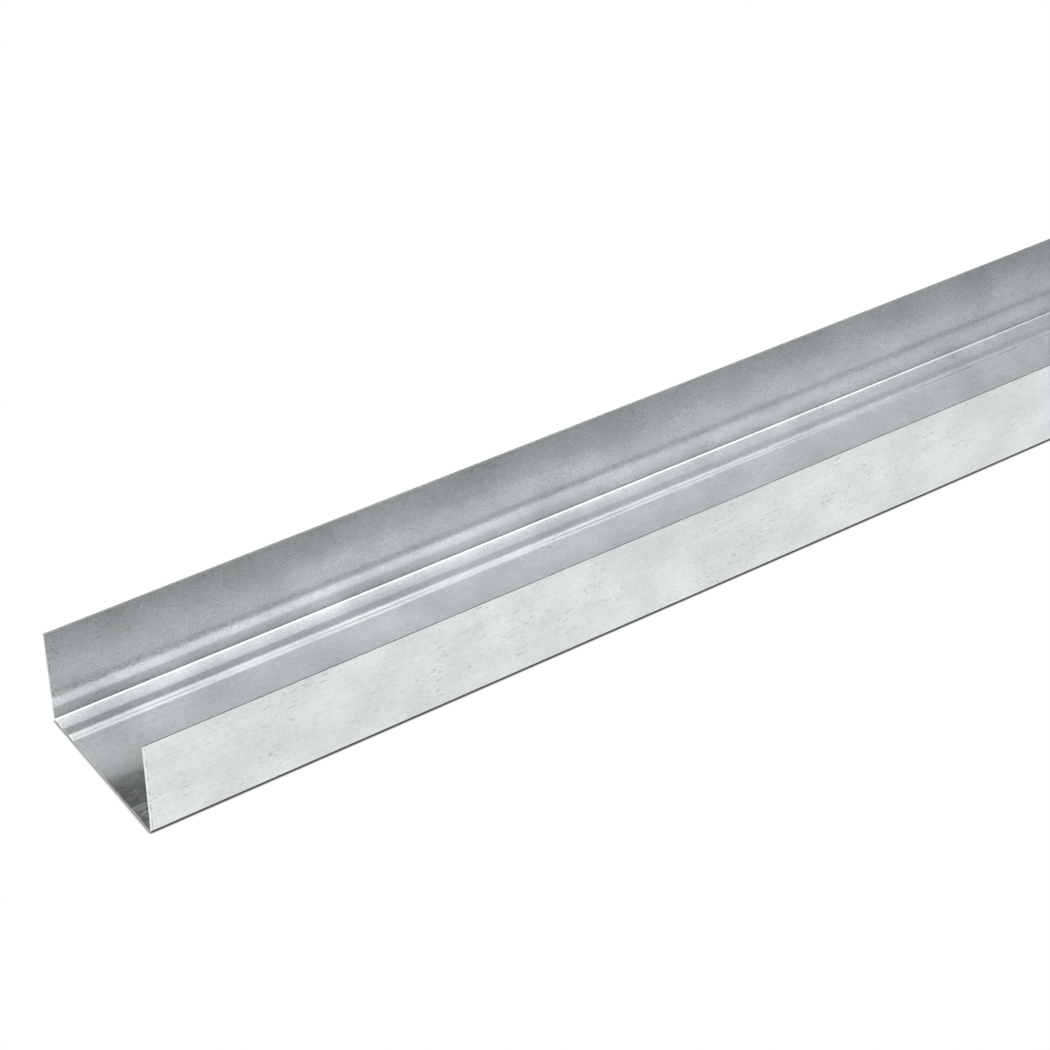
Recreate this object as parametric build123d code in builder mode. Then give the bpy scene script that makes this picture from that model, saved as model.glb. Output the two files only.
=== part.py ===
"""A roll-formed U-shaped track profile of galvanised steel sheet, for light partition framing.

One strip of sheet is bent up on both sides into a web with two plain flanges. A shallow rib runs
along the web beside each flange. The sheet keeps its thickness through every bend, so each rib
that rises inside the channel leaves a groove of the same depth in the underside.

Millimetres. X runs along the profile, Y across the web and Z up the flanges. The origin is at the
middle of the length and of the width, on the underside of the web.
"""

import os
from math import atan2, tan

from build123d import *

# The profile as it is sold.
profile_length = 2600.0
web_width = 75.0
flange_height = 40.0
sheet_thickness = 0.6

# The bend between the web and each flange, on the inside of the channel.
inner_bend_radius = 1.1

# Rolled sheet springs back a little, so a bend ends softly on both sides of its corner: the flange
# draws in below a height, and the web rises from the rib to the corner.
draw_in_height = 8.0
flange_draw_in = 0.4
web_rise = 0.25

# The rib along the web beside each flange: the distance of its crest from the outer face of the
# flange, the widths of its two sides and its height on the underside, before its crest and feet
# are rounded, and their rounding.
rib_inset = 12.1
rib_flange_side = 4.4
rib_middle_side = 3.3
rib_height = 0.5
rib_crest_radius = 4.0
rib_foot_radius = 8.0

half_width = web_width / 2
outer_bend_radius = inner_bend_radius + sheet_thickness
rib_crest = half_width - rib_inset
rib_outer_foot = rib_crest + rib_flange_side
rib_inner_foot = rib_crest - rib_middle_side
bend_corner = half_width - flange_draw_in
web_strip = bend_corner - rib_outer_foot

# The outer side of the strip on one half, from the top of its flange to the middle of the web, as
# distance from the middle and height.
flange_top = (half_width, flange_height)
soft_flange_corner = (half_width, draw_in_height)
soft_web_corner = (rib_outer_foot + web_strip / 2, web_rise / 4)
half_corners = [
    flange_top,
    soft_flange_corner,
    (bend_corner, web_rise),
    soft_web_corner,
    (rib_outer_foot, 0),
    (rib_crest, rib_height),
    (rib_inner_foot, 0),
]


def soft_radius(index, room):
    """The radius that rounds one of half_corners over nine tenths of the room on each side of it."""
    before, corner, after = (Vector(*point) for point in half_corners[index - 1 : index + 2])
    first, second = corner - before, after - corner
    turn = abs(atan2(first.cross(second).Z, first.dot(second)))
    return 0.9 * room / tan(turn / 2)


half_radii = [
    soft_radius(1, draw_in_height - web_rise - outer_bend_radius),
    outer_bend_radius,
    soft_radius(3, web_strip / 2 - outer_bend_radius),
    rib_foot_radius,
    rib_crest_radius,
    rib_foot_radius,
]

# The whole outer side as seen along X: down one flange, across the web and up the other.
outer_corners = [(-y, z) for y, z in half_corners] + half_corners[::-1]
corner_radii = half_radii + half_radii[::-1]

with BuildPart() as track_profile:
    with BuildSketch(Plane.YZ.offset(-profile_length / 2)) as section:
        with BuildLine() as strip:
            outer_side = FilletPolyline(*outer_corners, radius=corner_radii)
            offset(outer_side, amount=sheet_thickness, side=Side.LEFT, closed=True)
        make_face()
    extrude(amount=profile_length)

track_profile.part.label = "track_profile"

os.makedirs("parts", exist_ok=True)
export_step(track_profile.part, "parts/track_profile.step")
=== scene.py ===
"""A straight U-shaped track of galvanised steel sheet, on a white floor, seen from above one end."""

import math

import bpy
import numpy as np
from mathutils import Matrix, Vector


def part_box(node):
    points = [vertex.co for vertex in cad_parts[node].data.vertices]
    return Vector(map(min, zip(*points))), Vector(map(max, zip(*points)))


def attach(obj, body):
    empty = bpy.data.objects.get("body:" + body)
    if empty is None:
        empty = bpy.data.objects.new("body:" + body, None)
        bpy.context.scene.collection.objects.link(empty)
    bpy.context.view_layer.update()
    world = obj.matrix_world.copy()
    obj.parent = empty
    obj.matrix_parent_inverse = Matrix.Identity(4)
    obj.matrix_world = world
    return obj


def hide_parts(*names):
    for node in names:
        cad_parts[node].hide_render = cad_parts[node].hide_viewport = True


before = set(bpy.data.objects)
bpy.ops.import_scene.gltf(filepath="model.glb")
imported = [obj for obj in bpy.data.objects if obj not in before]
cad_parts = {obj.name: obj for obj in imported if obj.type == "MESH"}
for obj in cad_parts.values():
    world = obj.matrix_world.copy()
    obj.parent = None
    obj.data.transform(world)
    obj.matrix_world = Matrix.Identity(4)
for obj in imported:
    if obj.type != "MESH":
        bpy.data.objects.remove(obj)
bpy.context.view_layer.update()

# The track profile.
# One strip of steel sheet, hot-dip galvanised, is roll-formed into a web with two plain flanges.
# A shallow rib beside each flange stiffens the web, and both ends are sheared off square.
half_length, half_width, flange_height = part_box("track_profile")[1]
sheet_thickness = 0.0006

# The bend between the web and each flange, on the inside of the channel. It ends softly on both
# sides: the flange draws in below a height, and the web rises from the rib to the bend.
inner_bend_radius = 0.0011
draw_in_height = 0.008
flange_draw_in = 0.0004
web_rise = 0.00025
soft_share = 0.9

# The rib along the web beside each flange: the distance of its crest from the outer face of the
# flange, the widths of its two sides and its height on the underside, before its crest and feet
# are rounded, and their rounding.
rib_inset = 0.0121
rib_flange_side = 0.0044
rib_middle_side = 0.0033
rib_height = 0.0005
rib_crest_radius = 0.004
rib_foot_radius = 0.008

# The rounding of the sheet's rims, and how finely the sheet is cut: the points on each arc, the
# steps over a rim, the longest steps across and along, and the least distance between two points.
edge_rounding = 0.00012
arc_points = 11
rim_steps = 4
flat_step = 0.004
length_step = 0.02
least_step = 1e-7

outer_bend_radius = inner_bend_radius + sheet_thickness
rib_crest = half_width - rib_inset
rib_outer_foot = rib_crest + rib_flange_side
bend_corner = half_width - flange_draw_in
web_strip = bend_corner - rib_outer_foot
half_corners = np.array(
    [
        (half_width, flange_height),
        (half_width, draw_in_height),
        (bend_corner, web_rise),
        (rib_outer_foot + web_strip / 2, web_rise / 4),
        (rib_outer_foot, 0),
        (rib_crest, rib_height),
        (rib_crest - rib_middle_side, 0),
    ]
)


def soft_radius(index, room):
    """The radius whose arc takes its share of the room on each side of a corner.

    An arc of radius r that rounds a corner starts r times the tangent of half the turn before it.
    """
    first, second = np.diff(half_corners[index - 1 : index + 2], axis=0)
    turn = abs(math.atan2(first[0] * second[1] - first[1] * second[0], first @ second))
    return soft_share * room / math.tan(turn / 2)


half_radii = [
    soft_radius(1, draw_in_height - web_rise - outer_bend_radius),
    outer_bend_radius,
    soft_radius(3, web_strip / 2 - outer_bend_radius),
    rib_foot_radius,
    rib_crest_radius,
    rib_foot_radius,
]

# Where the sheet is cut over a rounded rim, inwards from its edge: the rounding, less the rounding
# times the cosine of an even angle.
rim_cuts = edge_rounding * (1 - np.cos(np.linspace(0, np.pi / 2, rim_steps + 1)))


def bent_line(corners, radii):
    """Points of a line whose corners are rounded by arcs, its normals to the left, and how far each
    point is from the nearer end.

    Each arc's centre lies its radius to the left or right of the line where the arc starts, and its
    normals turn evenly from one flat's to the next. The flats are cut into short steps, and both
    ends at the cuts over a rim.
    """
    runs = np.diff(corners, axis=0)
    ways = runs / np.linalg.norm(runs, axis=1)[:, None]
    lefts = np.stack([-ways[:, 1], ways[:, 0]], axis=1)
    crosses = ways[:-1, 0] * ways[1:, 1] - ways[:-1, 1] * ways[1:, 0]
    turns = np.arctan2(crosses, np.sum(ways[:-1] * ways[1:], axis=1))
    signed = radii * np.sign(turns)
    starts = corners[1:-1] - ways[:-1] * (radii * np.tan(np.abs(turns) / 2))[:, None]
    centres = starts + lefts[:-1] * signed[:, None]
    first = np.arctan2(lefts[:-1, 1], lefts[:-1, 0])
    angles = first[:, None] + turns[:, None] * np.linspace(0, 1, arc_points)
    arc_normals = np.stack([np.cos(angles), np.sin(angles)], axis=-1)
    arcs = centres[:, None] - arc_normals * signed[:, None, None]
    points = np.concatenate([corners[:1], arcs.reshape(-1, 2), corners[-1:]])
    normals = np.concatenate([lefts[:1], arc_normals.reshape(-1, 2), lefts[-1:]])
    along = np.concatenate([[0], np.cumsum(np.linalg.norm(np.diff(points, axis=0), axis=1))])
    counts = np.maximum(1, np.round(np.diff(along) / flat_step).astype(int))
    evenly = [np.linspace(a, b, n, endpoint=False) for a, b, n in zip(along[:-1], along[1:], counts)]
    cuts = np.unique(np.concatenate(evenly + [rim_cuts, along[-1] - rim_cuts]))
    cuts = cuts[np.diff(cuts, prepend=-1) > least_step]
    points = np.stack([np.interp(cuts, along, points[:, i]) for i in (0, 1)], axis=1)
    normals = np.stack([np.interp(cuts, along, normals[:, i]) for i in (0, 1)], axis=1)
    to_edge = np.minimum(cuts, along[-1] - cuts)
    return points, normals / np.linalg.norm(normals, axis=1)[:, None], to_edge


def sheet_mesh(name, line, normals, line_to_edge, stations, stations_to_edge):
    """A sheet carried along X, with its outer and inner faces as grids, closed by strips at the rims.

    Point (i, k) of a face is station i along X at point k of the line, for the inner face moved
    inwards by the sheet's thickness. Within the edge rounding e of a rim, at distance d from it,
    each face draws in by e minus the root of e squared less (e - d) squared, and its normal leans
    towards the rim by the angle whose sine is (e - d) / e.
    """
    rows, columns = len(stations), len(line)
    lean_up = np.clip(1 - line_to_edge / edge_rounding, 0, 1)[None, :] * np.ones((rows, 1))
    lean_out = np.clip(1 - stations_to_edge / edge_rounding, 0, 1)[:, None] * np.ones((1, columns))
    flatness = np.sqrt(np.clip(1 - lean_up**2 - lean_out**2, 0, 1))
    draw_in = edge_rounding * (1 - np.sqrt(1 - np.maximum(lean_up, lean_out) ** 2))
    depth = np.stack([draw_in, sheet_thickness - draw_in])
    points = np.empty((2, rows, columns, 3))
    points[..., 0] = stations[:, None]
    points[..., 1:] = line + normals * depth[..., None]
    facing = np.zeros((2, rows, columns, 3))
    facing[..., 1:] = normals * flatness[..., None]
    facing[0] *= -1
    facing[..., 2] += lean_up
    facing[..., 0] += lean_out * np.sign(stations)[:, None]
    facing /= np.linalg.norm(facing, axis=-1)[..., None]
    out, back = np.arange(2 * rows * columns).reshape(2, rows, columns)
    faces_and_rims = [
        (out[:-1, :-1], out[:-1, 1:], out[1:, 1:], out[1:, :-1]),
        (back[:-1, :-1], back[1:, :-1], back[1:, 1:], back[:-1, 1:]),
        (out[:-1, 0], out[1:, 0], back[1:, 0], back[:-1, 0]),
        (out[:-1, -1], back[:-1, -1], back[1:, -1], out[1:, -1]),
        (out[0, :-1], back[0, :-1], back[0, 1:], out[0, 1:]),
        (out[-1, :-1], out[-1, 1:], back[-1, 1:], back[-1, :-1]),
    ]
    quads = [np.stack([corner.ravel() for corner in patch], axis=1) for patch in faces_and_rims]
    # The first finish is for both faces, the second for the slit edges and the third for the ends.
    finish = np.repeat([0, 0, 1, 1, 2, 2], [len(q) for q in quads])
    mesh = bpy.data.meshes.new(name)
    mesh.from_pydata(points.reshape(-1, 3), [], np.concatenate(quads))
    mesh.polygons.foreach_set("material_index", finish)
    mesh.polygons.foreach_set("use_smooth", np.ones(len(finish), bool))
    mesh.normals_split_custom_set_from_vertices(facing.reshape(-1, 3))
    return mesh


corners = np.concatenate([half_corners * (-1, 1), half_corners[::-1]])
line, inward, line_to_edge = bent_line(corners, np.array(half_radii + half_radii[::-1]))
length_steps = int(round(2 * half_length / length_step))
middle = np.linspace(-half_length, half_length, length_steps + 1)[1:-1]
stations = np.concatenate([-half_length + rim_cuts, middle, (half_length - rim_cuts)[::-1]])
track_mesh = sheet_mesh("track_sheet", line, inward, line_to_edge, stations, half_length - np.abs(stations))
track = bpy.data.objects.new("track_sheet", track_mesh)
bpy.context.collection.objects.link(track)


def linear(colour):
    """An sRGB hex colour as linear RGBA, each channel raised by the standard sRGB curve."""
    channels = np.array([int(colour[i : i + 2], 16) / 255 for i in (1, 3, 5)])
    low, high = channels / 12.92, ((channels + 0.055) / 1.055) ** 2.4
    return (*np.where(channels <= 0.04045, low, high), 1.0)


def add(tree, kind, settings, inputs):
    """Adds a node with its settings, and gives each named input a value or links an output to it."""
    node = tree.nodes.new(kind)
    for name, value in settings.items():
        setattr(node, name, value)
    for name, value in inputs.items():
        if isinstance(value, bpy.types.NodeSocket):
            tree.links.new(value, node.inputs[name])
        else:
            node.inputs[name].default_value = value
    return node


# Hot-dip galvanised sheet: steel drawn through molten zinc, wiped by air knives and rolled lightly.
# The zinc freezes into crystals finer than a pixel, some glossy and some dull, so the eye sees pale
# grey metal that mirrors its surroundings both sharply and softly.
zinc = bpy.data.materials.new("hot-dip galvanised steel")
zinc.use_nodes = True
tree = zinc.node_tree
shader = tree.nodes["Principled BSDF"]
shader.inputs["Metallic"].default_value = 1.0
smooth = {"interpolation_type": "SMOOTHSTEP"}
place = add(tree, "ShaderNodeTexCoord", {}, {}).outputs["Object"]
crystal_size = 0.0002
crystal_span = {"From Min": 0.42, "From Max": 0.58}
mottle_size = 0.0016
mottle_span = {"From Min": 0.35, "From Max": 0.65}
glossy_roughness = {"To Min": 0.08, "To Max": 0.13}
dull_roughness = {"To Min": 0.38, "To Max": 0.46}
crystals = add(
    tree, "ShaderNodeTexNoise", {}, {"Vector": place, "Scale": 1 / crystal_size, "Detail": 0.0}
).outputs["Fac"]
mottle = add(
    tree, "ShaderNodeTexNoise", {}, {"Vector": place, "Scale": 1 / mottle_size, "Detail": 3.0}
).outputs["Fac"]
dull = add(
    tree, "ShaderNodeMapRange", smooth, {"Value": mottle, **mottle_span, **dull_roughness}
).outputs["Result"]
glossy = add(
    tree, "ShaderNodeMapRange", smooth, {"Value": mottle, **mottle_span, **glossy_roughness}
).outputs["Result"]
roughness = add(
    tree,
    "ShaderNodeMapRange",
    smooth,
    {"Value": crystals, **crystal_span, "To Min": glossy, "To Max": dull},
).outputs["Result"]
tree.links.new(roughness, shader.inputs["Roughness"])

# The coating's grey runs in a fine mottle, a wide cloud and faint lines along the rolling.
cloud_size = 0.022
cloud_weight = 1.5
line_length = 0.05
line_width = 0.0009
line_weight = 0.5
line_shape = {"Scale": (line_width / line_length, 1.0, 1.0)}
tone_span = {"From Min": 1.0, "From Max": 2.0}
grey_zinc = linear("#cfd2d3")
pale_zinc = linear("#e9eced")
cloud = add(
    tree, "ShaderNodeTexNoise", {}, {"Vector": place, "Scale": 1 / cloud_size, "Detail": 2.0}
).outputs["Fac"]
along_rolling = add(tree, "ShaderNodeMapping", {}, {"Vector": place, **line_shape}).outputs["Vector"]
lines = add(
    tree, "ShaderNodeTexNoise", {}, {"Vector": along_rolling, "Scale": 1 / line_width, "Detail": 2.0}
).outputs["Fac"]
tone = add(
    tree, "ShaderNodeMath", {"operation": "MULTIPLY_ADD"}, {0: cloud, 1: cloud_weight, 2: mottle}
).outputs[0]
tone = add(
    tree, "ShaderNodeMath", {"operation": "MULTIPLY_ADD"}, {0: lines, 1: line_weight, 2: tone}
).outputs[0]
tone = add(tree, "ShaderNodeMapRange", {}, {"Value": tone, **tone_span}).outputs["Result"]
colour = add(
    tree, "ShaderNodeMix", {"data_type": "RGBA"}, {"Factor": tone, 6: grey_zinc, 7: pale_zinc}
).outputs[2]

# Short dull dashes lie along the rolling, gathered in clusters.
dash_width = 0.0007
dash_length = 0.0025
dash_shape = {"Scale": (dash_width / dash_length, 1.0, 1.0)}
dash_span = {"From Min": 0.6, "From Max": 0.74}
cluster_size = 0.014
cluster_span = {"From Min": 0.46, "From Max": 0.66}
cluster_strength = {"To Min": 0.1, "To Max": 0.8}
dash_grey = linear("#b4b8ba")
dash_place = add(tree, "ShaderNodeMapping", {}, {"Vector": place, **dash_shape}).outputs["Vector"]
dashes = add(
    tree, "ShaderNodeTexNoise", {}, {"Vector": dash_place, "Scale": 1 / dash_width, "Detail": 1.0}
).outputs["Fac"]
dashes = add(tree, "ShaderNodeMapRange", smooth, {"Value": dashes, **dash_span}).outputs["Result"]
clusters = add(
    tree, "ShaderNodeTexNoise", {}, {"Vector": place, "Scale": 1 / cluster_size, "Detail": 1.0}
).outputs["Fac"]
clusters = add(
    tree, "ShaderNodeMapRange", smooth, {"Value": clusters, **cluster_span, **cluster_strength}
).outputs["Result"]
dashes = add(tree, "ShaderNodeMath", {"operation": "MULTIPLY"}, {0: dashes, 1: clusters}).outputs[0]
colour = add(
    tree, "ShaderNodeMix", {"data_type": "RGBA"}, {"Factor": dashes, 6: colour, 7: dash_grey}
).outputs[2]

# A dark grey line runs along each rib's middle side, at a distance from its crest. It is broken
# where the lines along the rolling are faint.
rib_line_inset = 0.00195
rib_line_width = 0.0009
rib_line_place = rib_crest - rib_line_inset
rib_line_span = {"From Min": rib_line_width / 4, "From Max": rib_line_width / 2, "To Min": 1.0, "To Max": 0.0}
break_span = {"From Min": 0.42, "From Max": 0.6, "To Min": 0.0, "To Max": 0.6}
rib_line_grey = linear("#7e8284")
axes = add(tree, "ShaderNodeSeparateXYZ", {}, {"Vector": place}).outputs
sideways = add(tree, "ShaderNodeMath", {"operation": "ABSOLUTE"}, {0: axes["Y"]}).outputs[0]
apart = add(tree, "ShaderNodeMath", {"operation": "SUBTRACT"}, {0: sideways, 1: rib_line_place}).outputs[0]
apart = add(tree, "ShaderNodeMath", {"operation": "ABSOLUTE"}, {0: apart}).outputs[0]
rib_line = add(tree, "ShaderNodeMapRange", smooth, {"Value": apart, **rib_line_span}).outputs["Result"]
broken = add(tree, "ShaderNodeMapRange", smooth, {"Value": lines, **break_span}).outputs["Result"]
rib_line = add(tree, "ShaderNodeMath", {"operation": "MULTIPLY"}, {0: rib_line, 1: broken}).outputs[0]
colour = add(
    tree, "ShaderNodeMix", {"data_type": "RGBA"}, {"Factor": rib_line, 6: colour, 7: rib_line_grey}
).outputs[2]

# Both faces are painted near-white in a narrow rim at each cut end, a painted highlight where the cut edge
# catches the light. Small dark nicks, left by the shears, lie just inside it.
rim_width = 0.0006
rim_highlight_strength = 0.8
rim_highlight_white = linear("#f7f8f8")
nick_width = 0.0004
nick_spacing = 0.003
nick_span = {"From Min": 0.48, "From Max": 0.62, "To Min": 0.0, "To Max": 0.45}
nick_grey = linear("#5a5d5f")
rim_start = half_length - rim_width
near_rim_span = {"From Min": rim_start - nick_width, "From Max": rim_start - nick_width / 2}
rim_highlight_span = {"From Min": rim_start, "From Max": rim_start + rim_width / 4, "To Max": rim_highlight_strength}
from_middle = add(tree, "ShaderNodeMath", {"operation": "ABSOLUTE"}, {0: axes["X"]}).outputs[0]
near_rim = add(
    tree, "ShaderNodeMapRange", smooth, {"Value": from_middle, **near_rim_span}
).outputs["Result"]
nicks = add(
    tree, "ShaderNodeTexNoise", {}, {"Vector": place, "Scale": 1 / nick_spacing, "Detail": 2.0}
).outputs["Fac"]
nicks = add(tree, "ShaderNodeMapRange", smooth, {"Value": nicks, **nick_span}).outputs["Result"]
nicks = add(tree, "ShaderNodeMath", {"operation": "MULTIPLY"}, {0: near_rim, 1: nicks}).outputs[0]
colour = add(
    tree, "ShaderNodeMix", {"data_type": "RGBA"}, {"Factor": nicks, 6: colour, 7: nick_grey}
).outputs[2]
# The painted highlight: the faces turn near-white over the rim at each cut end.
rim = add(tree, "ShaderNodeMapRange", smooth, {"Value": from_middle, **rim_highlight_span}).outputs["Result"]
colour = add(
    tree, "ShaderNodeMix", {"data_type": "RGBA"}, {"Factor": rim, 6: colour, 7: rim_highlight_white}
).outputs[2]
tree.links.new(colour, shader.inputs["Base Color"])

mottle_relief = 0.000015
bump = add(tree, "ShaderNodeBump", {}, {"Height": mottle, "Distance": mottle_relief, "Strength": 1.0})
tree.links.new(bump.outputs["Normal"], shader.inputs["Normal"])
track_mesh.materials.append(zinc)

# Slit steel edge: the strip's long edges, cut by rolling knives. The eye sees a dull grey line of
# bare steel with zinc dragged over it in places, streaked along the cut.
slit = bpy.data.materials.new("slit steel edge")
slit.use_nodes = True
tree = slit.node_tree
shader = tree.nodes["Principled BSDF"]
shader.inputs["Metallic"].default_value = 1.0
place = add(tree, "ShaderNodeTexCoord", {}, {}).outputs["Object"]
drag_length = 0.006
drag_width = 0.0003
drag_shape = {"Scale": (drag_width / drag_length, 1.0, 1.0)}
drag_span = {"From Min": 0.35, "From Max": 0.65}
slit_roughness = {"To Min": 0.3, "To Max": 0.5}
bare_steel = linear("#626567")
dragged_zinc = linear("#86898b")
along_cut = add(tree, "ShaderNodeMapping", {}, {"Vector": place, **drag_shape}).outputs["Vector"]
drag = add(
    tree, "ShaderNodeTexNoise", {}, {"Vector": along_cut, "Scale": 1 / drag_width, "Detail": 2.0}
).outputs["Fac"]
drag = add(tree, "ShaderNodeMapRange", smooth, {"Value": drag, **drag_span}).outputs["Result"]
roughness = add(tree, "ShaderNodeMapRange", {}, {"Value": drag, **slit_roughness}).outputs["Result"]
tree.links.new(roughness, shader.inputs["Roughness"])
colour = add(
    tree, "ShaderNodeMix", {"data_type": "RGBA"}, {"Factor": drag, 6: bare_steel, 7: dragged_zinc}
).outputs[2]
tree.links.new(colour, shader.inputs["Base Color"])
track_mesh.materials.append(slit)

# Sheared steel end: the profile's ends, cut off square by a press blade. The eye sees a bright
# burnished band where the blade went in, broken by small dull tears.
sheared = bpy.data.materials.new("sheared steel end")
sheared.use_nodes = True
tree = sheared.node_tree
shader = tree.nodes["Principled BSDF"]
shader.inputs["Metallic"].default_value = 1.0
place = add(tree, "ShaderNodeTexCoord", {}, {}).outputs["Object"]
tear_size = 0.0005
tear_span = {"From Min": 0.3, "From Max": 0.5}
sheared_roughness = {"To Min": 0.5, "To Max": 0.25}
torn_steel = linear("#c9cbcc")
burnished_steel = linear("#f6f7f7")
tears = add(
    tree, "ShaderNodeTexNoise", {}, {"Vector": place, "Scale": 1 / tear_size, "Detail": 2.0}
).outputs["Fac"]
burnished = add(tree, "ShaderNodeMapRange", smooth, {"Value": tears, **tear_span}).outputs["Result"]
roughness = add(
    tree, "ShaderNodeMapRange", {}, {"Value": burnished, **sheared_roughness}
).outputs["Result"]
tree.links.new(roughness, shader.inputs["Roughness"])
colour = add(
    tree, "ShaderNodeMix", {"data_type": "RGBA"}, {"Factor": burnished, 6: torn_steel, 7: burnished_steel}
).outputs[2]
tree.links.new(colour, shader.inputs["Base Color"])
track_mesh.materials.append(sheared)

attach(track, "root")
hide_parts("track_profile")

# The floor, of plain white paper.
# It is plain white where it is seen or mirrored, with the track's shadow close under its edges.
floor_half = 40.0
floor_corners = floor_half * np.array([(-1, -1, 0), (1, -1, 0), (1, 1, 0), (-1, 1, 0)])
shadow_reach = 0.001
shadow_depth = 2.3
paper_white = linear("#f4f4f4")
paper_roughness = 0.9
floor_mesh = bpy.data.meshes.new("floor")
floor_mesh.from_pydata(floor_corners, [], [(0, 1, 2, 3)])
floor = bpy.data.objects.new("floor", floor_mesh)
bpy.context.collection.objects.link(floor)
paper = bpy.data.materials.new("white paper")
paper.use_nodes = True
tree = paper.node_tree
lit = tree.nodes["Principled BSDF"]
lit.inputs["Base Color"].default_value = paper_white
lit.inputs["Roughness"].default_value = paper_roughness
shade = add(tree, "ShaderNodeAmbientOcclusion", {"samples": 16}, {"Distance": shadow_reach})
open_sky = {0: shade.outputs["AO"], 1: shadow_depth}
shade = add(tree, "ShaderNodeMath", {"operation": "POWER"}, open_sky)
white = add(tree, "ShaderNodeEmission", {}, {"Color": shade.outputs[0], "Strength": 1.0})
rays = add(tree, "ShaderNodeLightPath", {}, {}).outputs
seen = add(tree, "ShaderNodeMath", {}, {0: rays["Is Camera Ray"], 1: rays["Is Glossy Ray"]})
seen = add(
    tree, "ShaderNodeMath", {"use_clamp": True}, {0: seen.outputs[0], 1: rays["Is Transmission Ray"]}
)
either = add(tree, "ShaderNodeMixShader", {}, {0: seen.outputs[0], 1: lit.outputs[0], 2: white.outputs[0]})
tree.links.new(either.outputs[0], tree.nodes["Material Output"].inputs["Surface"])
floor_mesh.materials.append(paper)


def towards(azimuth, elevation):
    """The unit vector to a place in the sky, by its angles from +X towards +Y and up."""
    a, e = math.radians(azimuth), math.radians(elevation)
    return Vector((math.cos(e) * math.cos(a), math.cos(e) * math.sin(a), math.sin(e)))


# The softbox, one round lamp overhead and to the front.
# A flat lamp of radiance L and area A gives pi times L times A watts.
softbox_distance = 12.0
softbox_half_angle = math.radians(30)
softbox_radiance = 1.48
softbox_place = towards(-70, 76) * softbox_distance
softbox_radius = softbox_distance * math.tan(softbox_half_angle)
softbox_data = bpy.data.lights.new("softbox", "AREA")
softbox_data.shape = "DISK"
softbox_data.size = 2 * softbox_radius
softbox_data.energy = math.pi * softbox_radiance * math.pi * softbox_radius**2
softbox = bpy.data.objects.new("softbox", softbox_data)
softbox.location = softbox_place
softbox.rotation_euler = softbox_place.to_track_quat("Z", "Y").to_euler()
bpy.context.collection.objects.link(softbox)

# The room, with pale paper walls.
# They are dark in front and bright low at the front right, a black flag hangs high behind the
# track, and a white cove runs round their foot. Each place has a way to its middle, its inner and
# outer radius in degrees, and its level.
wall_level = 0.58
dark_front = (towards(-98, 39), 10.0, 55.0, 0.05)
bright_right = (towards(-54, 36), 3.6, 20.4, 1.1)
black_flag = (towards(71, 48), 10.2, 23.8, 0.0)
cove_level = 0.95
cove_foot = math.sin(math.radians(5))
cove_top = math.sin(math.radians(13))
room = bpy.data.worlds.new("room")
bpy.context.scene.world = room
room.use_nodes = True
tree = room.node_tree
view = add(tree, "ShaderNodeTexCoord", {}, {}).outputs["Generated"]
wall = wall_level
for way, inner, outer, level in (dark_front, bright_right, black_flag):
    away = add(
        tree, "ShaderNodeVectorMath", {"operation": "DOT_PRODUCT"}, {0: view, 1: way}
    ).outputs["Value"]
    away = add(tree, "ShaderNodeMath", {"operation": "ARCCOSINE"}, {0: away}).outputs[0]
    place_span = {"From Min": math.radians(inner), "From Max": math.radians(outer)}
    wall = add(
        tree, "ShaderNodeMapRange", smooth, {"Value": away, **place_span, "To Min": level, "To Max": wall}
    ).outputs["Result"]
height = add(tree, "ShaderNodeSeparateXYZ", {}, {"Vector": view}).outputs["Z"]
cove_span = {"From Min": cove_foot, "From Max": cove_top}
wall = add(
    tree, "ShaderNodeMapRange", smooth, {"Value": height, **cove_span, "To Min": cove_level, "To Max": wall}
).outputs["Result"]
tree.links.new(wall, tree.nodes["Background"].inputs["Color"])

# The camera, above the near end of the track.
camera_place = (-1.5998, -0.7007, 0.6599)
camera_heading = math.radians(55.398)
camera_dip = math.radians(36.309)
camera_data = bpy.data.cameras.new("camera")
camera_data.sensor_width = 36.0
camera_data.lens = 95.392
camera_data.clip_start = 0.05
camera_data.clip_end = 200.0
camera = bpy.data.objects.new("camera", camera_data)
camera.location = camera_place
camera.rotation_euler = (math.pi / 2 - camera_dip, 0, camera_heading - math.pi / 2)
bpy.context.collection.objects.link(camera)
bpy.context.scene.camera = camera
bpy.context.scene.view_settings.view_transform = "Standard"
